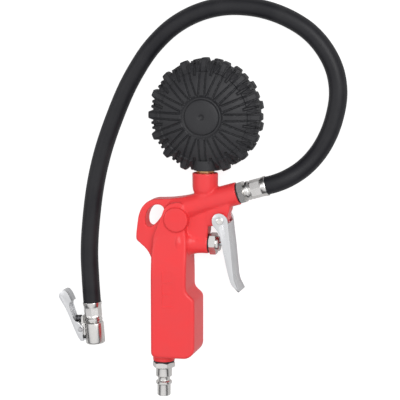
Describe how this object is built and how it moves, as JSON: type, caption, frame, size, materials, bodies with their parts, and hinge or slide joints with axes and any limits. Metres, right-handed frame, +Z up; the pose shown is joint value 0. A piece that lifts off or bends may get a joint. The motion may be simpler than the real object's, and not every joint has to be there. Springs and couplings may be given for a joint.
{
  "type": "tire inflator gun",
  "caption": "Air-line tire inflator gun: trigger valve in a red cast grip, dial gauge in a tread-pattern rubber boot, whip hose with a clip-on lever chuck, quick-connect air inlet plug.",
  "frame": {"origin": "on the surface that the gun lies on, under the middle of the bounding box of the gun and its gauge, leaving out the hose and what is on its far end", "axes": "+Z up, square to the flat side of the grip; +Y from the inlet plug to the gauge; +X from the hanging hook to the trigger"},
  "size_m": [0.2198, 0.3003, 0.031],
  "materials": {
    "red_paint": "gloss paint over a die-cast aluminium body",
    "bright_plating": "bright nickel plate",
    "steel": "plain steel",
    "brass": "machined brass",
    "black_rubber": "matt moulded rubber",
    "hose_rubber": "satin extruded rubber",
    "black_shell": "black paint on thin steel",
    "clear_lens": "clear, flat",
    "dial_white": "white enamel with black graduations",
    "pointer_red": "red enamel"
  },
  "bodies": {
    "gun": {"gun_body": "red_paint", "inlet_plug": "bright_plating", "inlet_seal_washer": "black_rubber", "valve_gland_nut": "bright_plating", "valve_gland_washer": "black_rubber", "valve_spring": "steel", "trigger_pin": "steel", "trigger_pin_clip": "steel", "gauge_boot": "black_rubber", "gauge_case": "black_shell", "gauge_bezel": "black_shell", "gauge_lens": "clear_lens", "lens_gasket": "black_rubber", "gauge_socket": "brass", "bourdon_tube": "brass", "movement_front_plate": "brass", "movement_back_plate": "brass", "movement_pillar_1": "brass", "movement_pillar_2": "brass", "hairspring": "brass", "dial_plate": "dial_white", "dial_screw_1": "steel", "dial_screw_2": "steel", "pointer_stop_pin": "steel", "port_seal_washer": "black_rubber", "hose_nipple_gun": "bright_plating", "hose_ferrule_gun": "bright_plating", "hose": "hose_rubber", "hose_ferrule_chuck": "bright_plating", "chuck_nipple": "bright_plating", "chuck_body": "bright_plating", "chuck_lever_pin": "steel", "chuck_lever_spring": "steel", "chuck_seal": "black_rubber", "chuck_seal_retainer": "brass", "chuck_check_spring": "steel"},
    "trigger": {"trigger_lever": "bright_plating"},
    "valve": {"valve_stem": "steel", "valve_poppet": "brass", "valve_seal": "black_rubber"},
    "sector": {"sector_gear": "brass"},
    "pointer": {"pinion_shaft": "steel", "pointer": "pointer_red"},
    "link": {"movement_link": "steel", "bourdon_tip": "brass"},
    "chuck_lever": {"chuck_lever": "bright_plating"},
    "chuck_core": {"chuck_core_pin": "brass"}
  },
  "joints": [
    {"name": "trigger_hinge", "type": "hinge", "parent": "gun", "child": "trigger", "pos_m": [0.01551, 0.0086, 0.0155], "axis": [0, 0, -1], "range_deg": [0, 11.5]},
    {"name": "valve_slide", "type": "slide", "parent": "gun", "child": "valve", "axis": [-1, 0, 0], "range_m": [0, 0.00377], "stiffness_N_per_m": 1500, "springref_m": -0.005, "deforming": ["valve_spring"]},
    {"name": "sector_hinge", "type": "hinge", "parent": "gun", "child": "sector", "pos_m": [-0.01104, 0.07911, 0.0128], "axis": [0, 0, 1], "range_deg": [-33.75, 0]},
    {"name": "pointer_hinge", "type": "hinge", "parent": "gun", "child": "pointer", "pos_m": [0.00201, 0.0852, 0.0128], "axis": [0, 0, 1], "range_deg": [0, 270], "deforming": ["hairspring"]},
    {"name": "link_slide", "type": "slide", "parent": "gun", "child": "link", "axis": [-0.9397, -0.342, 0], "range_m": [0, 0.0029], "stiffness_N_per_m": 120, "springref_m": -0.0005, "deforming": ["bourdon_tube"]},
    {"name": "chuck_lever_hinge", "type": "hinge", "parent": "gun", "child": "chuck_lever", "pos_m": [-0.09709, -0.0821, 0.0074], "axis": [0, 0, -1], "range_deg": [0, 16], "stiffness_Nm_per_rad": 0.08, "springref_deg": -11.46, "deforming": ["chuck_lever_spring"]},
    {"name": "chuck_core_slide", "type": "slide", "parent": "gun", "child": "chuck_core", "axis": [-0.0785, 0.9969, 0], "range_m": [0, 0.0015], "stiffness_N_per_m": 20, "springref_m": -0.002, "deforming": ["chuck_check_spring"]}
  ],
  "couplings": [
    {"joint": "trigger_hinge", "follows": "valve_slide", "rad_per_m": 53.191},
    {"joint": "sector_hinge", "follows": "link_slide", "rad_per_m": -202.92},
    {"joint": "pointer_hinge", "follows": "link_slide", "rad_per_m": 1623.4}
  ]
}
